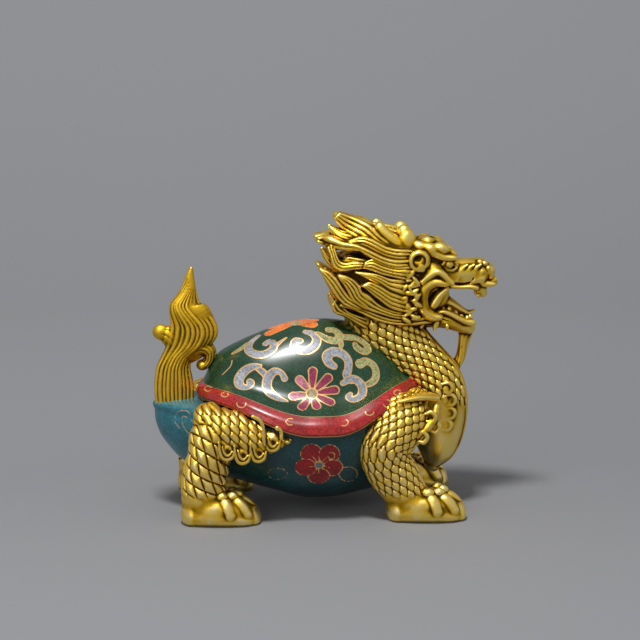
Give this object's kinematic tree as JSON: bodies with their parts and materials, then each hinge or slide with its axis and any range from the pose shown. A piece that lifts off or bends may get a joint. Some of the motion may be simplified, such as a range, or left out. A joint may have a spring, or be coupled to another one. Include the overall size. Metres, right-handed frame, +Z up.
{
  "type": "cloisonne dragon-turtle figurine",
  "caption": "Standing dragon-turtle ornament: enamelled metal shell and belly on scaled gilt legs, with a maned dragon head and a flame tail.",
  "frame": {"origin": "on the ground under the middle of the figurine's outline", "axes": "+X towards the head, +Y to the animal's left, +Z up"},
  "size_m": [0.1198, 0.066, 0.1025],
  "materials": {
    "shell_enamel": "glossy dark green and red fired enamel with inlaid metal wires",
    "belly_enamel": "glossy blue-green fired enamel with inlaid metal wires",
    "gilt": "satin antique gilding, dark in the hollows and worn pale on the high points"
  },
  "bodies": {
    "root": {"carapace": "shell_enamel", "belly": "belly_enamel", "head_and_neck": "gilt", "tail": "gilt", "front_right_leg": "gilt", "front_left_leg": "gilt", "rear_right_leg": "gilt", "rear_left_leg": "gilt"}
  },
  "joints": []
}
